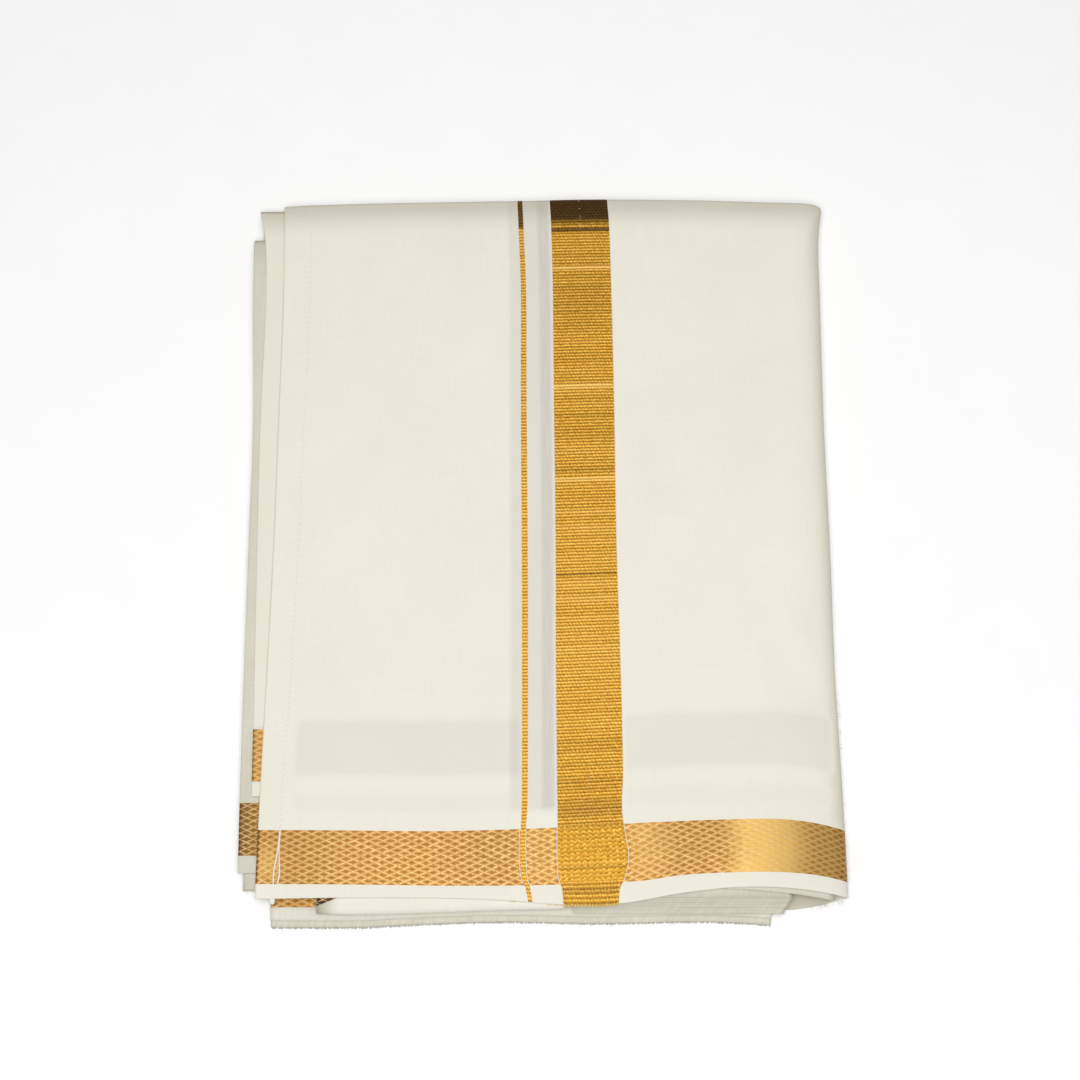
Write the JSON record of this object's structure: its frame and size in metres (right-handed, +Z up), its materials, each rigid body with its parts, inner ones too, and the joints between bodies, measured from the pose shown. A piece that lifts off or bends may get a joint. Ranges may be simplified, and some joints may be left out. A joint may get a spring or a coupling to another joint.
{
  "type": "folded dhoti cloth",
  "caption": "White cotton dhoti with woven gold borders, folded flat into a layered rectangle with a rounded right fold and a stitched hem at the left.",
  "frame": {"origin": "under the middle of the folded cloth's outline, on the surface that it rests on", "axes": "+X from the hemmed ends at the left to the rounded fold at the right, +Y from the selvedges in front to the folds at the back, +Z up"},
  "size_m": [0.2696, 0.3396, 0.0209],
  "materials": {
    "bleached_cotton": "plain-woven bleached cotton, matt with a slight sheen, with borders of gold thread woven in: a diamond border, a ribbed band and a thin line"
  },
  "bodies": {
    "root": {"top_layer": "bleached_cotton", "end_hem": "bleached_cotton", "second_layer": "bleached_cotton", "third_layer": "bleached_cotton", "front_fold": "bleached_cotton", "inner_fold": "bleached_cotton", "lower_leaf": "bleached_cotton", "hidden_folds": "bleached_cotton"}
  },
  "joints": []
}
